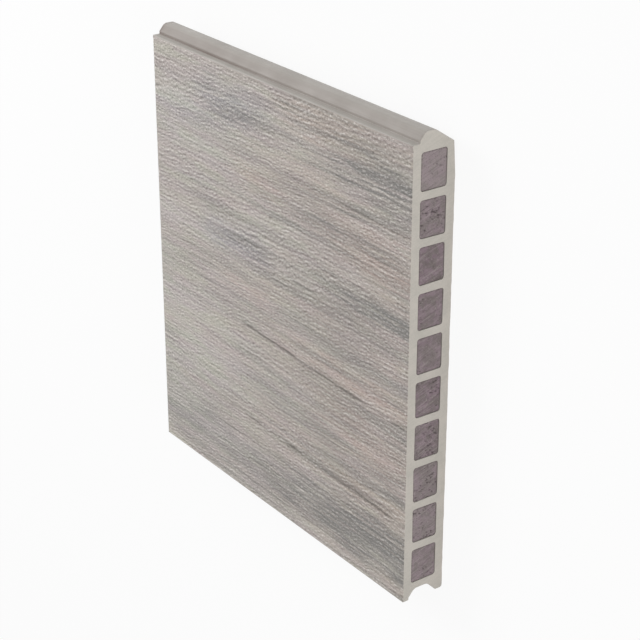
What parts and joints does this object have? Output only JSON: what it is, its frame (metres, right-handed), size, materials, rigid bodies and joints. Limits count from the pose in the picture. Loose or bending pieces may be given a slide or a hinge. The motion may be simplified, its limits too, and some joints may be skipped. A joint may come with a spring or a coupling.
{
  "type": "composite fence board",
  "caption": "Short length of tongue-and-groove composite fence board, wood-grain face up, with core-filled square cells showing at its sawn ends.",
  "frame": {"origin": "centre of the bounding box, on the floor under the board's back", "axes": "+X along the board, +Y from the groove towards the tongue, +Z out of the embossed face"},
  "size_m": [0.185, 0.2044, 0.021],
  "materials": {
    "shell": "beige-grey composite, embossed with streaked wood grain on its face",
    "core": "mottled purple-brown foamed core, sawn"
  },
  "bodies": {
    "root": {"board_shell": "shell", "core_strip_01": "core", "core_strip_02": "core", "core_strip_03": "core", "core_strip_04": "core", "core_strip_05": "core", "core_strip_06": "core", "core_strip_07": "core", "core_strip_08": "core", "core_strip_09": "core", "core_strip_10": "core"}
  },
  "joints": []
}
